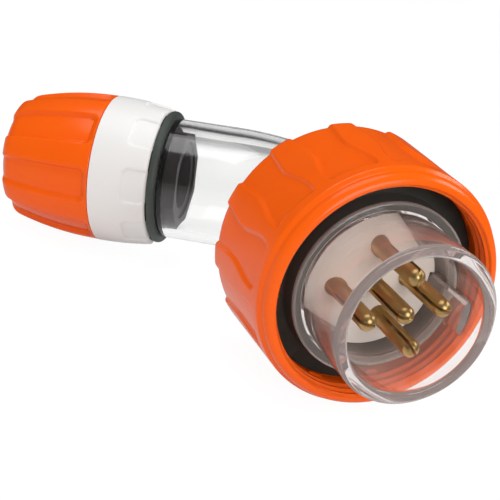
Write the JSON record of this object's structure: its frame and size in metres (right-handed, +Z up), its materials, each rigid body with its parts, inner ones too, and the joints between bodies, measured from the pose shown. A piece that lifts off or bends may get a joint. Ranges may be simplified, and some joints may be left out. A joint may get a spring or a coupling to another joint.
{
  "type": "angled plug",
  "caption": "Angled weatherproof plug without cable: clear bent body, orange fluted lock ring, split brass pins in a clear shroud, white collar and orange gland nut",
  "frame": {"origin": "centre of the sealing face, which is the flat front of the face gasket, on the plug axis", "axes": "+X along the plug axis, the way the pins point; +Z up as the plug lies on a table; the cable end bends 60 degrees towards -Y and droops by the angle at which ring and nut both rest"},
  "size_m": [0.1742, 0.1421, 0.081],
  "materials": {
    "orange_plastic": "moulded orange plastic, satin gloss",
    "white_plastic": "moulded white plastic, soft gloss",
    "clear_plastic": "clear moulded plastic, polished",
    "black_rubber": "moulded black rubber, matt",
    "brass": "turned brass, bright",
    "screw_steel": "plated steel",
    "grey_plastic": "moulded light grey plastic, matt",
    "pale_plastic": "moulded pale warm grey plastic, soft gloss",
    "dark_plastic": "moulded dark grey plastic, matt"
  },
  "bodies": {
    "plug": {"front_housing": "clear_plastic", "elbow_body": "clear_plastic", "face_gasket": "black_rubber", "body_seal": "black_rubber", "collar_seal": "black_rubber", "cable_grommet": "black_rubber", "pin_line_1": "brass", "pin_line_2": "brass", "pin_line_3": "brass", "pin_earth": "brass", "pin_neutral": "brass", "terminal_screws": "screw_steel", "carrier_screws": "screw_steel", "body_screws": "screw_steel", "pin_base": "pale_plastic", "terminal_carrier": "grey_plastic", "gland_locknut": "dark_plastic", "gland_collar": "white_plastic"},
    "ring": {"lock_ring": "orange_plastic"},
    "washer": {"slip_washer": "grey_plastic"},
    "nut": {"gland_nut": "orange_plastic"}
  },
  "joints": [
    {"name": "lock_ring_turn", "type": "hinge", "parent": "plug", "child": "ring", "pos_m": [0, 0, 0], "axis": [1, 0, 0], "continuous": true},
    {"name": "gland_nut_travel", "type": "slide", "parent": "plug", "child": "washer", "axis": [-0.5, -0.8497, -0.1676], "range_m": [0, 0.00909]},
    {"name": "gland_nut_turn", "type": "hinge", "parent": "washer", "child": "nut", "pos_m": [-0.0714, 0, 0], "axis": [-0.5, -0.8497, -0.1676], "range_deg": [0, 1080]}
  ],
  "couplings": [
    {"joint": "gland_nut_travel", "follows": "gland_nut_turn", "m_per_rad": 0.00047746}
  ]
}
